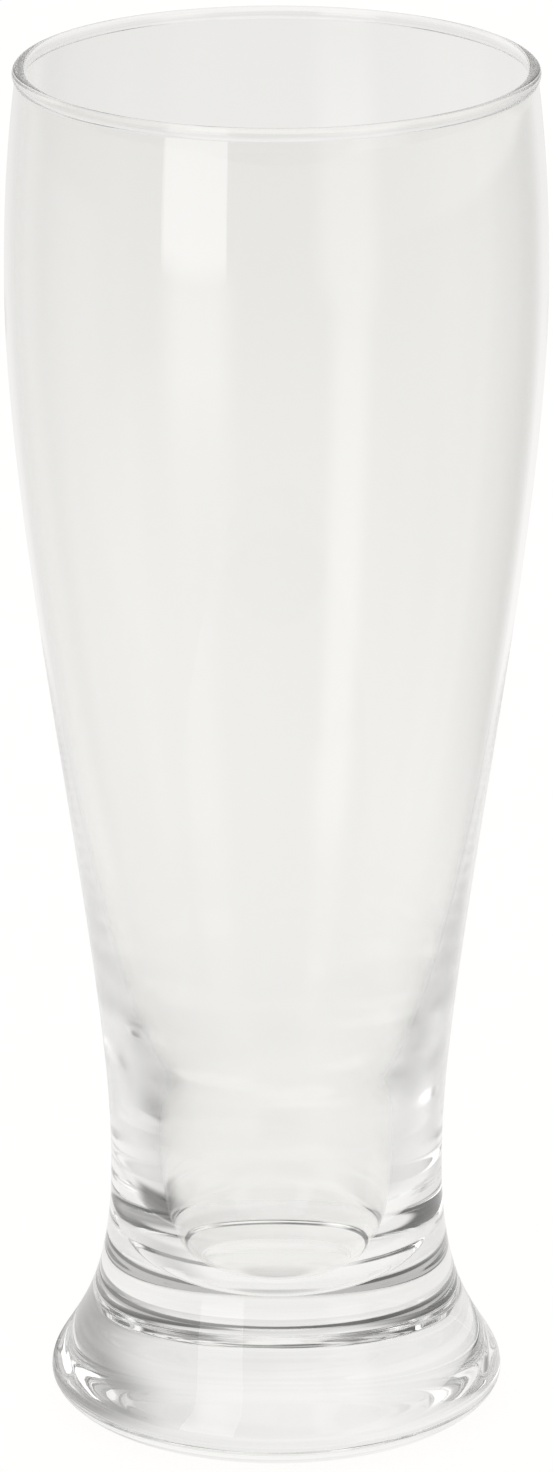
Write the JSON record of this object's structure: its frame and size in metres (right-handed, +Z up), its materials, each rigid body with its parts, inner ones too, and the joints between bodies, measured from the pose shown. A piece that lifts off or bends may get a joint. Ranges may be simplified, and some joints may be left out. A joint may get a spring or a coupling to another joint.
{
  "type": "pilsner glass",
  "caption": "Tall clear beer glass: a bowl that swells from a narrow waist to a wide shoulder and draws in to a rounded lip, on a heavy solid foot.",
  "frame": {"origin": "centre of the flat ring under the foot, on the table", "axes": "+Z up along the axis of the glass, from the foot to the lip; X and Y are free, because the glass is round"},
  "size_m": [0.0808, 0.0808, 0.21],
  "materials": {
    "clear_glass": "gloss"
  },
  "bodies": {
    "root": {"bowl": "clear_glass", "foot": "clear_glass"}
  },
  "joints": []
}
